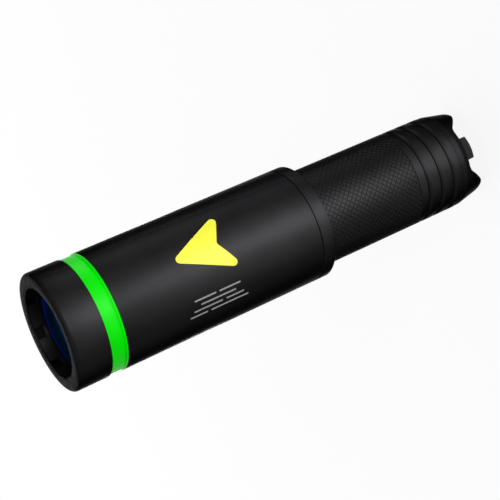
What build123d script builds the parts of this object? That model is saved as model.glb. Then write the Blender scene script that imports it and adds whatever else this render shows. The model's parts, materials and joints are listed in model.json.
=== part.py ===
from build123d import *
import os
from math import sqrt

# Infrared laser illuminator, a torch-shaped tube that stands on its crowned tail with the lens upwards.
# All sizes are in millimetres. Z runs up along the tube's axis and z = 0 is the tips of the crown.
# The crown's slot runs along Y, so the two lobes stand at +X and -X.

# Outside, from the tail upwards
HEAD_R = 15.0           # 30 mm head, a common sight ring size
GRIP_R = 12.7           # 25.4 mm grip, the one inch ring size
CAP_LEN = 23.1
GRIP_LEN = 29.36
COLLAR_LEN = 3.54
BAND_LEN = 4.16         # the barrel between the collar and the band takes what the inside needs
BEZEL_LEN = 8.7
EDGE = 0.15             # chamfer on the edges beside a parting line
SEAM = 0.08             # gap left at a parting line between pieces that move apart

# Fits
RUN = 0.06              # radial clearance of a piece that turns or slides in another
SEAT = 0.04             # radial clearance of a piece that is screwed or pressed home
FACE_GAP = 0.05         # axial gap before a piece that turns or slides
THREAD_RUN = 0.1        # radial clearance of the tail cap on its threaded neck
CUT = 1.0               # how far a cut runs past the face it starts at

# Tail cap and crown
SHOULDER_STEP = 0.1     # step down from the cap's full radius to its taper
SHOULDER_LEN = 1.6
TAPER_LEN = 7.7
TAPER_DROP = 1.55       # how much the radius shrinks along the taper
SLOT_DEPTH = 6.0
SLOT_SLOPE = 1.55       # rise of the slot's flanks over their run
SLOT_FILLET = 1.9
LAND_W = 1.4            # width of a lobe's flat tip across its middle
LOBE_EDGE = 0.4         # rounding of the lobes' outer edges
LOBE_W = 2.25           # from the tip's outer edge in to the round recess between the lobes
GROOVE_COUNT = 3
GROOVE_FIRST = 2.23     # from the cap's front edge to the first groove's sharp edge
GROOVE_PITCH = 4.05
GROOVE_DEPTH = 0.36
GROOVE_WIDTH = 1.45
GROOVE_MID_DEPTH = 0.2  # a point on the groove's soft side
GROOVE_MID_DROP = 0.87
END_WALL = 1.0          # wall between the crown and the switch

# Button
BUTTON_R = 6.85         # radius of the button's rounded ends, about the axis
BUTTON_W = 6.1
BUTTON_SHY = 0.3        # how far the button ends short of the lobes' tips
BUTTON_GAP = 0.15       # clearance round the button in its window
BUTTON_TRAVEL = 1.3
FLANGE_GAP = 0.36       # clearance round the button's flange
FLANGE_T = 0.9
BUTTON_SEAL_T = 0.7

# Switch
SWITCH_H = 3.2
SWITCH_W = 8.4
SWITCH_EDGE = 0.8       # rounding of the switch's upright corners
SWITCH_GAP = 0.15       # left between the pressed button and the switch
PLUNGER_R = 1.9
PLUNGER_IN = 2.2        # depth of the plunger's hole in the switch
SPACER_WALL = 1.5
SWITCH_BOARD_T = 1.0
SWITCH_BOLT_T = 1.5     # thickness of the ring that clamps the switch board
SWITCH_BOLT_WALL = 3.0
THREAD_STEP = 1.5       # step from the cap's thread in to the bore round the switch
SPRING_WIRE_R = 0.4
SPRING_TURNS = 3.0
SPRING_H = 4.4
SPRING_GAP = 1.16       # clearance round the spring

# Battery tube and cells
NECK_STEP = 1.1         # step from the grip in to the threaded neck in the tail cap
NECK_GAP = 0.5          # from the clamp ring of the switch up to the neck's end
CELL_R = 8.4
CELL_GAP = 0.35         # clearance round the cells
CELL_LEN = 34.5
CELL_EDGE = 0.6         # rounding at both ends of a cell's can
NUB_R = 3.2
NUB_H = 0.9

# Head, each wall or step taken in from the one before
HEAD_WALL = 2.0
COLLAR_WALL = 1.36
COLLAR_SPIGOT_LEN = 10.0
LEDGE_T = 0.5           # ledge inside the barrel that the heat sink stops on
LEDGE_W = 1.0
BAND_DEPTH = 0.27       # how far the green band's floor lies below the head
BAND_WALL = 0.99
BAND_SLOPE_LEN = 0.96
SPIGOT_WALL = 1.44      # threaded spigot at the back of the bezel
SPIGOT_LEN = 10.8
BEZEL_EDGE = 0.8        # rounding of the bezel's outer edge
LIP_T = 0.4             # lip that keeps the focus ring in

# Focus ring and lens
RING_WALL = 0.8
RING_LEN = 7.6
NOTCH_COUNT = 8
NOTCH_W = 2.8
NOTCH_DEPTH = 2.1
NOTCH_PHASE = -7.0      # turn of the first notch from +Y, in degrees
LENS_TRAVEL = 2.0
CELL_FRONT = 3.4        # depth of the lens cell's front lip below the bezel's face
LENS_CELL_LEN = 11.3
LENS_CELL_WALL = 1.0
LENS_RIM = 0.5          # width of the cell's lip over the lens
APERTURE_T = 1.3
LENS_EDGE_T = 1.9
LENS_CURVE_R = 30.0
LENS_SEAL_R = 0.36      # section radius of the lens seal
RETAINER_T = 1.6
RETAINER_WALL = 0.9
SPANNER_W = 1.6
SLEEVE_WALL = 0.78
SLEEVE_LEN = 8.5
PIN_R = 0.75
PIN_FROM_SLEEVE_END = 3.2
KEYWAY_W = 1.7

# O-ring sections
SEAL_R = 0.33
SEAL_GROOVE_W = 0.9

# Laser module
SINK_LEN = 8.0
HEADER_R = 4.5
HEADER_T = 1.5
CAN_R = 3.2
CAN_H = 3.0
WINDOW_R = 1.5
WINDOW_T = 0.3
LEAD_R = 0.25
LEAD_COUNT = 3
LEAD_CIRCLE_R = 1.27
LEAD_HOLE_R = 2.6
CLAMP_T = 1.0

# Driver
CUP_LEN = 6.5
CUP_WALL = 1.25
CUP_LEDGE = 0.85
BOARD_T = 1.2
CONTACT_R = 2.5
CONTACT_H = 2.2
CONTACT_EDGE = 0.5
COIL_W = 5.2
COIL_H = 2.8
COIL_EDGE = 1.0         # rounding of the coil's upright corners
CHIP_W = 4.9
CHIP_D = 3.9
CHIP_H = 1.5
CAPACITOR_L = 3.2
CAPACITOR_W = 1.6
PARTS_INSET = 5.47      # from the board's edge in to the circle its components stand on

# Stations along the axis, outside
Z_CAP = CAP_LEN
Z_GRIP = Z_CAP + GRIP_LEN
Z_COLLAR = Z_GRIP + COLLAR_LEN

# Stations inside, stacked from the crown up to the bezel, which set where the head ends
Z_END_WALL = SLOT_DEPTH + END_WALL
Z_BUTTON_SEAL = Z_END_WALL + FACE_GAP
Z_FLANGE = Z_BUTTON_SEAL + BUTTON_SEAL_T
Z_PLUNGER = Z_FLANGE + FLANGE_T
Z_SWITCH = Z_PLUNGER + BUTTON_TRAVEL + SWITCH_GAP
Z_SWITCH_BOARD = Z_SWITCH + SWITCH_H
Z_SWITCH_BOLT = Z_SWITCH_BOARD + SWITCH_BOARD_T
Z_SWITCH_BOLT_TOP = Z_SWITCH_BOLT + SWITCH_BOLT_T
Z_NECK_END = Z_SWITCH_BOLT_TOP + NECK_GAP
Z_CELLS = Z_SWITCH_BOLT + SPRING_H
Z_MIDDLE = Z_CELLS + CELL_LEN
Z_CELLS_TOP = Z_MIDDLE + CELL_LEN
Z_BOARD = Z_CELLS_TOP + CONTACT_H
Z_BOARD_TOP = Z_BOARD + BOARD_T
Z_CUP = Z_BOARD - 2 * FACE_GAP
Z_TUBE_TOP = Z_CUP - FACE_GAP
Z_SINK = Z_CUP + CUP_LEN
Z_SINK_TOP = Z_SINK + SINK_LEN
Z_LEDGE_TOP = Z_SINK_TOP + LEDGE_T
Z_SPIGOT_END = Z_LEDGE_TOP + 2 * FACE_GAP
Z_BAND = Z_SPIGOT_END + SPIGOT_LEN
Z_BARREL = Z_BAND - BAND_LEN
Z_FACE = Z_BAND + BEZEL_LEN

# Radii of the head, from the outside in
MAIN_BORE_R = HEAD_R - HEAD_WALL
COLLAR_SPIGOT_R = MAIN_BORE_R - SEAT
COLLAR_BORE_R = COLLAR_SPIGOT_R - COLLAR_WALL
FRONT_NECK_R = COLLAR_BORE_R - SEAT
SINK_R = MAIN_BORE_R - SEAT
CUP_R = MAIN_BORE_R - SEAT
BOARD_R = CUP_R - CUP_WALL - SEAT
PARTS_CIRCLE_R = BOARD_R - PARTS_INSET
BAND_R = HEAD_R - BAND_DEPTH
BAND_BORE_R = BAND_R - BAND_WALL
SPIGOT_R = BAND_BORE_R - SEAT
BEZEL_BORE_R = SPIGOT_R - SPIGOT_WALL
RING_R = BEZEL_BORE_R - RUN
MOUTH_R = RING_R - RING_WALL
SLEEVE_R = BEZEL_BORE_R - SEAT
SLEEVE_BORE_R = SLEEVE_R - SLEEVE_WALL
LENS_CELL_R = MOUTH_R - RUN
LENS_BORE_R = LENS_CELL_R - LENS_CELL_WALL
LENS_R = LENS_BORE_R - SEAT
APERTURE_R = LENS_R - LENS_RIM
RETAINER_IN_R = LENS_R - RETAINER_WALL

# Radii of the grip and tail
CELL_BORE_R = CELL_R + CELL_GAP
TAIL_NECK_R = GRIP_R - NECK_STEP
CAP_THREAD_R = TAIL_NECK_R + THREAD_RUN
TAIL_BORE_R = CAP_THREAD_R - THREAD_STEP
SWITCH_RING_R = TAIL_BORE_R - SEAT
FLANGE_R = SWITCH_RING_R - SPACER_WALL - FLANGE_GAP
SPRING_R = SWITCH_RING_R - SWITCH_BOLT_WALL - SPRING_GAP - SPRING_WIRE_R
TAPER_R = GRIP_R - SHOULDER_STEP
TIP_R = TAPER_R - TAPER_DROP
RECESS_R = TIP_R - LOBE_W
SLOT_HALF = TIP_R - LAND_W - SLOT_DEPTH / SLOT_SLOPE

# Focus ring, lens and guide, hung from the bezel's face
Z_RING_TOP = Z_FACE - LIP_T - FACE_GAP
Z_RING = Z_RING_TOP - RING_LEN
Z_SLEEVE_TOP = Z_RING - FACE_GAP
Z_SLEEVE = Z_SLEEVE_TOP - SLEEVE_LEN
Z_PIN = Z_SLEEVE + PIN_FROM_SLEEVE_END
Z_CELL_TOP = Z_FACE - CELL_FRONT
Z_CELL_END = Z_CELL_TOP - LENS_CELL_LEN
Z_LENS_SEAT = Z_CELL_TOP - APERTURE_T
LENS_SEAL_CIRCLE = LENS_R - LENS_SEAL_R
LENS_DROP = sqrt((LENS_CURVE_R + LENS_SEAL_R) ** 2 - LENS_SEAL_CIRCLE ** 2)
Z_CURVE_CENTRE = Z_LENS_SEAT - LENS_SEAL_R - SEAT / 2 - LENS_DROP
Z_LENS_EDGE = Z_CURVE_CENTRE + sqrt(LENS_CURVE_R ** 2 - LENS_R ** 2)
Z_LENS_BACK = Z_LENS_EDGE - LENS_EDGE_T


def turned(points):
    """A solid of revolution about Z from its (radius, height) outline."""
    outline = Polyline(*[(r, 0, z) for r, z in points], close=True)
    return revolve(make_face(outline), Axis.Z)


def tube(r_out, r_in, z0, z1):
    """A plain ring or tube between two heights."""
    return turned([(r_in, z0), (r_out, z0), (r_out, z1), (r_in, z1)])


def rod(r, z0, z1):
    """A plain round bar between two heights."""
    return Pos(0, 0, z0) * Cylinder(r, z1 - z0, align=(Align.CENTER, Align.CENTER, Align.MIN))


def block(width, depth, z0, z1):
    """A rectangular block centred on the axis between two heights."""
    return Pos(0, 0, z0) * Box(width, depth, z1 - z0, align=(Align.CENTER, Align.CENTER, Align.MIN))


def seal_ring(r_floor, z):
    """An O-ring that lies on a groove's floor, at a height."""
    return Pos(0, 0, z) * Torus(r_floor + SEAT / 2 + SEAL_R, SEAL_R)


def seal_groove(r_floor, r_out, z):
    """The groove for an O-ring, cut from outside."""
    half = SEAL_GROOVE_W / 2
    return tube(r_out + CUT, r_floor, z - half, z + half)


def groove_floor(r_bore):
    """Floor radius of a groove whose O-ring just reaches the bore around it."""
    return r_bore - SEAT - 2 * SEAL_R


def oblong(half_width, end_r, z0, z1):
    """The button's outline: a disc about the axis with both sides cut flat."""
    return rod(end_r, z0, z1) & block(2 * half_width, 2 * end_r + CUT, z0, z1)


# Front end

def bezel():
    body = turned([
        (BEZEL_BORE_R, Z_SPIGOT_END), (SPIGOT_R, Z_SPIGOT_END), (SPIGOT_R, Z_BAND),
        (HEAD_R - EDGE, Z_BAND), (HEAD_R, Z_BAND + EDGE), (HEAD_R, Z_FACE), (MOUTH_R, Z_FACE),
        (MOUTH_R, Z_FACE - LIP_T), (BEZEL_BORE_R, Z_FACE - LIP_T),
    ])
    rim = body.edges().filter_by(GeomType.CIRCLE).group_by(Axis.Z)[-1].sort_by(SortBy.RADIUS)[-1]
    body = fillet(rim, BEZEL_EDGE)
    return body - seal_groove(groove_floor(BAND_BORE_R), SPIGOT_R, bezel_seal_height())


def bezel_seal_height():
    return (Z_BARREL + Z_SPIGOT_END) / 2 + SEAL_GROOVE_W


def colour_band():
    slope_top = Z_BARREL + BAND_SLOPE_LEN
    return turned([
        (BAND_BORE_R, Z_BARREL), (HEAD_R, Z_BARREL), (BAND_R, slope_top), (BAND_R, Z_BAND),
        (BAND_BORE_R, Z_BAND),
    ])


def focus_ring():
    ring = tube(RING_R, MOUTH_R, Z_RING, Z_RING_TOP)
    across = RING_R - MOUTH_R + 2 * CUT
    notch = Pos(0, (MOUTH_R + RING_R) / 2, Z_RING_TOP) * Box(NOTCH_W, across, 2 * NOTCH_DEPTH)
    for i in range(NOTCH_COUNT):
        ring -= Rot(0, 0, NOTCH_PHASE + 360 / NOTCH_COUNT * i) * notch
    return ring


def guide_sleeve():
    sleeve = tube(SLEEVE_R, SLEEVE_BORE_R, Z_SLEEVE, Z_SLEEVE_TOP)
    hole = Cylinder(PIN_R, 2 * HEAD_R, align=(Align.CENTER, Align.CENTER, Align.MIN))
    return sleeve - Pos(0, 0, Z_PIN) * Rot(0, 90, 0) * hole


def guide_pin():
    inner = LENS_BORE_R + SEAT
    pin = Cylinder(PIN_R, SLEEVE_R - inner, align=(Align.CENTER, Align.CENTER, Align.MIN))
    return Pos(inner, 0, Z_PIN) * Rot(0, 90, 0) * pin


def lens_cell():
    cell = turned([
        (LENS_BORE_R, Z_CELL_END), (LENS_CELL_R, Z_CELL_END), (LENS_CELL_R, Z_CELL_TOP),
        (APERTURE_R, Z_CELL_TOP), (APERTURE_R, Z_LENS_SEAT), (LENS_BORE_R, Z_LENS_SEAT),
    ])
    closed_end = Z_PIN + PIN_R + LENS_TRAVEL + 2 * FACE_GAP
    open_end = Z_CELL_END - CUT
    across = 2 * (LENS_CELL_R - LENS_BORE_R + CUT)
    keyway = Box(across, KEYWAY_W, closed_end - open_end)
    return cell - Pos(LENS_CELL_R, 0, (open_end + closed_end) / 2) * keyway


def objective_lens():
    glass = rod(LENS_R, Z_LENS_BACK, Z_CURVE_CENTRE + LENS_CURVE_R)
    return glass & Pos(0, 0, Z_CURVE_CENTRE) * Sphere(LENS_CURVE_R)


def lens_seal():
    return Pos(0, 0, Z_LENS_SEAT - LENS_SEAL_R) * Torus(LENS_SEAL_CIRCLE, LENS_SEAL_R)


def lens_retainer():
    top = Z_LENS_BACK
    ring = tube(LENS_R, RETAINER_IN_R, top - RETAINER_T, top)
    return ring - block(SPANNER_W, 2 * (LENS_R + CUT), top - RETAINER_T - CUT, top - RETAINER_T / 2)


# Head

def head_barrel():
    ledge_r = MAIN_BORE_R - LEDGE_W
    return turned([
        (MAIN_BORE_R, Z_COLLAR), (HEAD_R - EDGE, Z_COLLAR), (HEAD_R, Z_COLLAR + EDGE),
        (HEAD_R, Z_BARREL),
        (BAND_BORE_R, Z_BARREL), (BAND_BORE_R, Z_LEDGE_TOP), (ledge_r, Z_LEDGE_TOP),
        (ledge_r, Z_SINK_TOP), (MAIN_BORE_R, Z_SINK_TOP),
    ])


def heat_sink():
    pocket_r = HEADER_R + 2 * SEAT
    pocket_floor = Z_SINK_TOP - CLAMP_T - HEADER_T
    return turned([
        (LEAD_HOLE_R, Z_SINK), (SINK_R, Z_SINK), (SINK_R, Z_SINK_TOP),
        (pocket_r, Z_SINK_TOP), (pocket_r, pocket_floor), (LEAD_HOLE_R, pocket_floor),
    ])


def laser_diode():
    header_top = Z_SINK_TOP - CLAMP_T
    header_bottom = header_top - HEADER_T
    diode = rod(HEADER_R, header_bottom, header_top) + rod(CAN_R, header_top, header_top + CAN_H)
    diode -= rod(WINDOW_R, header_top + CAN_H - WINDOW_T, header_top + CAN_H)
    lead = rod(LEAD_R, Z_BOARD_TOP, header_bottom)
    for i in range(LEAD_COUNT):
        diode += Rot(0, 0, 360 / LEAD_COUNT * i) * Pos(LEAD_CIRCLE_R, 0, 0) * lead
    return diode


def diode_window():
    top = Z_SINK_TOP - CLAMP_T + CAN_H
    return rod(WINDOW_R, top - WINDOW_T, top)


def diode_clamp():
    ring = tube(HEADER_R, CAN_R + 2 * SEAT, Z_SINK_TOP - CLAMP_T, Z_SINK_TOP)
    return ring - block(SPANNER_W, 2 * (HEADER_R + CUT), Z_SINK_TOP - CLAMP_T / 2, Z_SINK_TOP + CUT)


def driver_cup():
    pocket_r = CUP_R - CUP_WALL
    return turned([
        (pocket_r, Z_CUP), (CUP_R, Z_CUP), (CUP_R, Z_SINK), (pocket_r - CUP_LEDGE, Z_SINK),
        (pocket_r - CUP_LEDGE, Z_BOARD_TOP), (pocket_r, Z_BOARD_TOP),
    ])


def driver_board():
    return rod(BOARD_R, Z_BOARD, Z_BOARD_TOP)


def driver_coil():
    coil = fillet(Box(COIL_W, COIL_W, COIL_H).edges().filter_by(Axis.Z), COIL_EDGE)
    return Pos(PARTS_CIRCLE_R, 0, Z_BOARD_TOP + COIL_H / 2) * coil


def driver_chip():
    return Pos(-PARTS_CIRCLE_R, 0, 0) * block(CHIP_D, CHIP_W, Z_BOARD_TOP, Z_BOARD_TOP + CHIP_H)


def driver_capacitors():
    body = block(CAPACITOR_L, CAPACITOR_W, Z_BOARD_TOP, Z_BOARD_TOP + CAPACITOR_W)
    one = Pos(0, PARTS_CIRCLE_R, 0) * body
    return Compound(children=[one, Rot(0, 0, 180) * one])


def front_contact():
    post = rod(CONTACT_R, Z_CELLS_TOP, Z_BOARD)
    return fillet(post.edges().group_by(Axis.Z)[0], CONTACT_EDGE)


# Collar and battery tube

def rear_collar():
    top = Z_COLLAR + COLLAR_SPIGOT_LEN
    body = turned([
        (COLLAR_BORE_R, Z_GRIP), (HEAD_R - EDGE, Z_GRIP), (HEAD_R, Z_GRIP + EDGE),
        (HEAD_R, Z_COLLAR - EDGE), (HEAD_R - EDGE, Z_COLLAR), (COLLAR_SPIGOT_R, Z_COLLAR),
        (COLLAR_SPIGOT_R, top), (COLLAR_BORE_R, top),
    ])
    return body - seal_groove(groove_floor(MAIN_BORE_R), COLLAR_SPIGOT_R, collar_seal_height())


def collar_seal_height():
    return Z_COLLAR + 2 * SEAL_GROOVE_W


def tube_seal_height():
    return (Z_GRIP + Z_COLLAR) / 2


def tail_seal_height():
    return Z_CAP - 2 * SEAL_GROOVE_W


def battery_tube():
    bottom = Z_CAP + SEAM
    body = turned([
        (CELL_BORE_R, Z_NECK_END), (TAIL_NECK_R - EDGE, Z_NECK_END), (TAIL_NECK_R, Z_NECK_END + EDGE),
        (TAIL_NECK_R, bottom), (GRIP_R - EDGE, bottom), (GRIP_R, bottom + EDGE), (GRIP_R, Z_GRIP),
        (FRONT_NECK_R, Z_GRIP), (FRONT_NECK_R, Z_TUBE_TOP), (CELL_BORE_R, Z_TUBE_TOP),
    ])
    body -= seal_groove(groove_floor(COLLAR_BORE_R), FRONT_NECK_R, tube_seal_height())
    return body - seal_groove(groove_floor(CAP_THREAD_R), TAIL_NECK_R, tail_seal_height())


def cell(z0):
    can = rod(CELL_R, z0, z0 + CELL_LEN - NUB_H)
    can = fillet(can.edges().filter_by(GeomType.CIRCLE), CELL_EDGE)
    return can + rod(NUB_R, z0 + CELL_LEN - NUB_H, z0 + CELL_LEN)


# Tail cap and switch

def cap_body():
    bottom_bore = Z_NECK_END - 2 * FACE_GAP
    shoulder = TAPER_LEN + SHOULDER_LEN
    return turned([
        (RECESS_R, 0), (TIP_R, 0), (TAPER_R, TAPER_LEN), (TAPER_R, shoulder), (GRIP_R, shoulder + EDGE),
        (GRIP_R, Z_CAP - EDGE), (GRIP_R - EDGE, Z_CAP), (CAP_THREAD_R, Z_CAP),
        (CAP_THREAD_R, bottom_bore), (TAIL_BORE_R, bottom_bore), (TAIL_BORE_R, Z_END_WALL),
        (0, Z_END_WALL), (0, SLOT_DEPTH), (RECESS_R, SLOT_DEPTH),
    ])


def ring_groove(z_top):
    """A groove with one sharp wall above and a hollow that runs out softly below."""
    over = GRIP_R + CUT
    corner = (GRIP_R - GROOVE_DEPTH, 0, z_top)
    middle = (GRIP_R - GROOVE_MID_DEPTH, 0, z_top - GROOVE_MID_DROP)
    run_out = (GRIP_R, 0, z_top - GROOVE_WIDTH)
    wall = Line((over, 0, z_top), corner)
    soft = ThreePointArc(corner, middle, run_out)
    back = Polyline(run_out, (over, 0, z_top - GROOVE_WIDTH), (over, 0, z_top))
    return revolve(make_face([wall, soft, back]), Axis.Z)


def slot_cutter():
    """The slot across the crown: a flat floor, sloped flanks and a soft corner between them."""
    mouth = SLOT_HALF + (SLOT_DEPTH + CUT) / SLOT_SLOPE
    left = [(-mouth, 0, -CUT), (-SLOT_HALF, 0, SLOT_DEPTH)]
    right = [(SLOT_HALF, 0, SLOT_DEPTH), (mouth, 0, -CUT)]
    prism = extrude(make_face(Polyline(*left, *right, close=True)), 2 * GRIP_R, both=True)
    floor_edges = prism.edges().filter_by(Axis.Y).group_by(Axis.Z)[-1]
    return fillet(floor_edges, SLOT_FILLET)


def tail_cap():
    body = cap_body()
    rim = body.edges().filter_by(GeomType.CIRCLE).group_by(Axis.Z)[0].sort_by(SortBy.RADIUS)[-1]
    body = fillet(rim, LOBE_EDGE)
    for i in range(GROOVE_COUNT):
        body -= ring_groove(Z_CAP - GROOVE_FIRST - GROOVE_PITCH * i)
    body -= slot_cutter()
    low, high = SLOT_DEPTH - CUT, Z_END_WALL + CUT
    return body - oblong(BUTTON_W / 2 + BUTTON_GAP, BUTTON_R + BUTTON_GAP, low, high)


def button():
    bar = oblong(BUTTON_W / 2, BUTTON_R, BUTTON_SHY, Z_FLANGE)
    return bar + rod(FLANGE_R, Z_FLANGE, Z_PLUNGER)


def button_seal():
    ring = rod(FLANGE_R, Z_BUTTON_SEAL, Z_FLANGE)
    return ring - oblong(BUTTON_W / 2 + SEAT, BUTTON_R + SEAT, Z_BUTTON_SEAL - CUT, Z_FLANGE + CUT)


def switch_plunger():
    return rod(PLUNGER_R, Z_PLUNGER, Z_SWITCH + PLUNGER_IN - BUTTON_TRAVEL - FACE_GAP)


def switch_body():
    body = block(SWITCH_W, SWITCH_W, Z_SWITCH, Z_SWITCH_BOARD)
    body = fillet(body.edges().filter_by(Axis.Z), SWITCH_EDGE)
    return body - rod(PLUNGER_R + 2 * RUN, Z_SWITCH - CUT, Z_SWITCH + PLUNGER_IN)


def switch_spacer():
    return tube(SWITCH_RING_R, SWITCH_RING_R - SPACER_WALL, Z_END_WALL, Z_SWITCH_BOARD)


def switch_board():
    return rod(SWITCH_RING_R, Z_SWITCH_BOARD, Z_SWITCH_BOLT)


def switch_retainer():
    top = Z_SWITCH_BOLT_TOP
    ring = tube(SWITCH_RING_R, SWITCH_RING_R - SWITCH_BOLT_WALL, Z_SWITCH_BOLT, top)
    return ring - block(SPANNER_W, 2 * (SWITCH_RING_R + CUT), top - SWITCH_BOLT_T / 2, top + CUT)


def tail_spring():
    low = Z_SWITCH_BOLT + SPRING_WIRE_R
    height = SPRING_H - 2 * SPRING_WIRE_R
    path = Pos(0, 0, low) * Helix(height / SPRING_TURNS, height, SPRING_R)
    section = Plane(path @ 0, z_dir=path % 0) * Circle(SPRING_WIRE_R)
    return sweep(section, path)


def pieces():
    """Every piece by name."""
    band_floor = groove_floor(BAND_BORE_R)
    collar_floor = groove_floor(MAIN_BORE_R)
    tube_floor = groove_floor(COLLAR_BORE_R)
    tail_floor = groove_floor(CAP_THREAD_R)
    return {
        "bezel": bezel(),
        "bezel_seal": seal_ring(band_floor, bezel_seal_height()),
        "colour_band": colour_band(),
        "focus_ring": focus_ring(),
        "guide_sleeve": guide_sleeve(),
        "guide_pin": guide_pin(),
        "lens_cell": lens_cell(),
        "objective_lens": objective_lens(),
        "lens_seal": lens_seal(),
        "lens_retainer": lens_retainer(),
        "head_barrel": head_barrel(),
        "heat_sink": heat_sink(),
        "laser_diode": laser_diode(),
        "diode_window": diode_window(),
        "diode_clamp": diode_clamp(),
        "driver_cup": driver_cup(),
        "driver_board": driver_board(),
        "driver_coil": driver_coil(),
        "driver_chip": driver_chip(),
        "driver_capacitors": driver_capacitors(),
        "front_contact": front_contact(),
        "rear_collar": rear_collar(),
        "collar_seal": seal_ring(collar_floor, collar_seal_height()),
        "battery_tube": battery_tube(),
        "tube_seal": seal_ring(tube_floor, tube_seal_height()),
        "cell_front": cell(Z_MIDDLE),
        "cell_rear": cell(Z_CELLS),
        "tail_seal": seal_ring(tail_floor, tail_seal_height()),
        "tail_cap": tail_cap(),
        "tail_spring": tail_spring(),
        "switch_retainer": switch_retainer(),
        "switch_board": switch_board(),
        "switch_body": switch_body(),
        "switch_plunger": switch_plunger(),
        "switch_spacer": switch_spacer(),
        "button": button(),
        "button_seal": button_seal(),
    }


os.makedirs("parts", exist_ok=True)
for name, shape in pieces().items():
    export_step(shape, "parts/" + name + ".step")
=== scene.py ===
import bmesh
import bpy
import json
from math import atan2, cos, pi, radians, sin, tan
from mathutils import Matrix, Vector

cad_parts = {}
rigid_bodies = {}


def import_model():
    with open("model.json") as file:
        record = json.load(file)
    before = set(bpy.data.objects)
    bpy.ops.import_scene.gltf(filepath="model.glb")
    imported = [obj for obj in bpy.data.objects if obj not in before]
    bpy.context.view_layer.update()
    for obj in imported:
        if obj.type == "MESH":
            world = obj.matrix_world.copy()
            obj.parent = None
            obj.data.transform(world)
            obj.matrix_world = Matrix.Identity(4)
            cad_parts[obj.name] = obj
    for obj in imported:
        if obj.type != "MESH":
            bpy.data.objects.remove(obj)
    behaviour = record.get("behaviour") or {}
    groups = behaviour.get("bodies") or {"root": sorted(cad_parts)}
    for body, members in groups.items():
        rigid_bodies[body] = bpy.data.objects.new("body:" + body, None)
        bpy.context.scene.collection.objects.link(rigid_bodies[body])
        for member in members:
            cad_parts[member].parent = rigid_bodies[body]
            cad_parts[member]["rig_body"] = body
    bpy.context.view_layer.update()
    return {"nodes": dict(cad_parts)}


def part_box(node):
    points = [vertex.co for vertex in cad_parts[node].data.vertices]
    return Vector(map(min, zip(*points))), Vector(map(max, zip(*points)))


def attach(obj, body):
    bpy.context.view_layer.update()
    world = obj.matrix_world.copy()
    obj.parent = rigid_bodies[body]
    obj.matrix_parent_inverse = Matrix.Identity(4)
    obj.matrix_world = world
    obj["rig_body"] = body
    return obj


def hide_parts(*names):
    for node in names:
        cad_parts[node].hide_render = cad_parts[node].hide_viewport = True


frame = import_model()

bl_info = {
    "name": "Infrared Illuminator Dresser",
    "version": (1, 0, 0),
    "blender": (4, 5, 0),
    "location": "3D View > Sidebar > Illuminator",
    "description": "Dresses the solids of an infrared laser illuminator with detailed meshes and finishes",
    "category": "Object",
}

MM = 0.001
ROUND_STEPS = 288            # facets round the tube, enough to look round close up
SHARP_ANGLE = radians(34)    # folds steeper than this stay crisp
MERGE = 0.0005 * MM          # corners of one mesh nearer than this become one
ARC_SHARE = 0.49             # a rounded corner takes at most this share of either edge beside it


# Colours


def linear(code):
    """An sRGB hex colour as the linear red, green, blue and alpha that the shaders take."""
    channels = [int(code[i:i + 2], 16) / 255 for i in (1, 3, 5)]
    return tuple(c / 12.92 if c <= 0.04045 else ((c + 0.055) / 1.055) ** 2.4 for c in channels) + (1.0,)


# Sizes and colours that can be changed


class IlluminatorSizes(bpy.types.PropertyGroup):
    """Sizes that can be changed before the pieces are made"""

    knurl_starts: bpy.props.IntProperty(
        name="Knurl starts", description="Helical grooves each way round the grip", default=50,
        min=12, max=90)
    knurl_depth: bpy.props.FloatProperty(
        name="Knurl depth", description="Depth of the knurl's grooves", default=0.12 * MM,
        unit="LENGTH", subtype="DISTANCE", precision=5)
    knurl_groove: bpy.props.FloatProperty(
        name="Groove width", description="Share of the knurl's spacing that its groove takes", default=0.17,
        min=0.05, max=0.9, subtype="FACTOR")
    thread_pitch: bpy.props.FloatProperty(
        name="Thread pitch", description="Pitch of the tail cap's screw thread", default=1.0 * MM,
        unit="LENGTH", subtype="DISTANCE", precision=5)
    thread_depth: bpy.props.FloatProperty(
        name="Thread depth", description="Depth of the tail cap's screw thread", default=0.34 * MM,
        unit="LENGTH", subtype="DISTANCE", precision=5)
    edge_break: bpy.props.FloatProperty(
        name="Edge break", description="Small rounding on machined edges", default=0.12 * MM,
        unit="LENGTH", subtype="DISTANCE", precision=5)
    bezel_round: bpy.props.FloatProperty(
        name="Bezel rounding", description="Rounding of the bezel's outer edge", default=0.8 * MM,
        unit="LENGTH", subtype="DISTANCE", precision=5)
    arrow_length: bpy.props.FloatProperty(
        name="Beam arrow length", description="Length of the printed arrow that points along the beam",
        default=17.0 * MM, unit="LENGTH", subtype="DISTANCE")


class IlluminatorColours(bpy.types.PropertyGroup):
    """Colours that can be changed before the pieces are made"""

    anodise: bpy.props.FloatVectorProperty(
        name="Black anodise", description="Dyed anodic film on the aluminium", size=4, subtype="COLOR",
        min=0, max=1, default=linear("#161617"))
    band: bpy.props.FloatVectorProperty(
        name="Green band", description="Enamel on the coloured ring", size=4, subtype="COLOR",
        min=0, max=1, default=linear("#00f000"))
    # the colour of the painted crescent of reflection near the lens's rim
    coating: bpy.props.FloatVectorProperty(
        name="Lens coating", description="Colour that the lens coating reflects", size=4, subtype="COLOR",
        min=0, max=1, default=linear("#0a238a"))
    arrow: bpy.props.FloatVectorProperty(
        name="Arrow ink", description="Yellow ink of the beam arrow", size=4, subtype="COLOR",
        min=0, max=1, default=linear("#ffff28"))
    dashes: bpy.props.FloatVectorProperty(
        name="Dash ink", description="Pale grey ink of the printed dashes", size=4, subtype="COLOR",
        min=0, max=1, default=linear("#9c9d9b"))


# Materials


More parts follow.
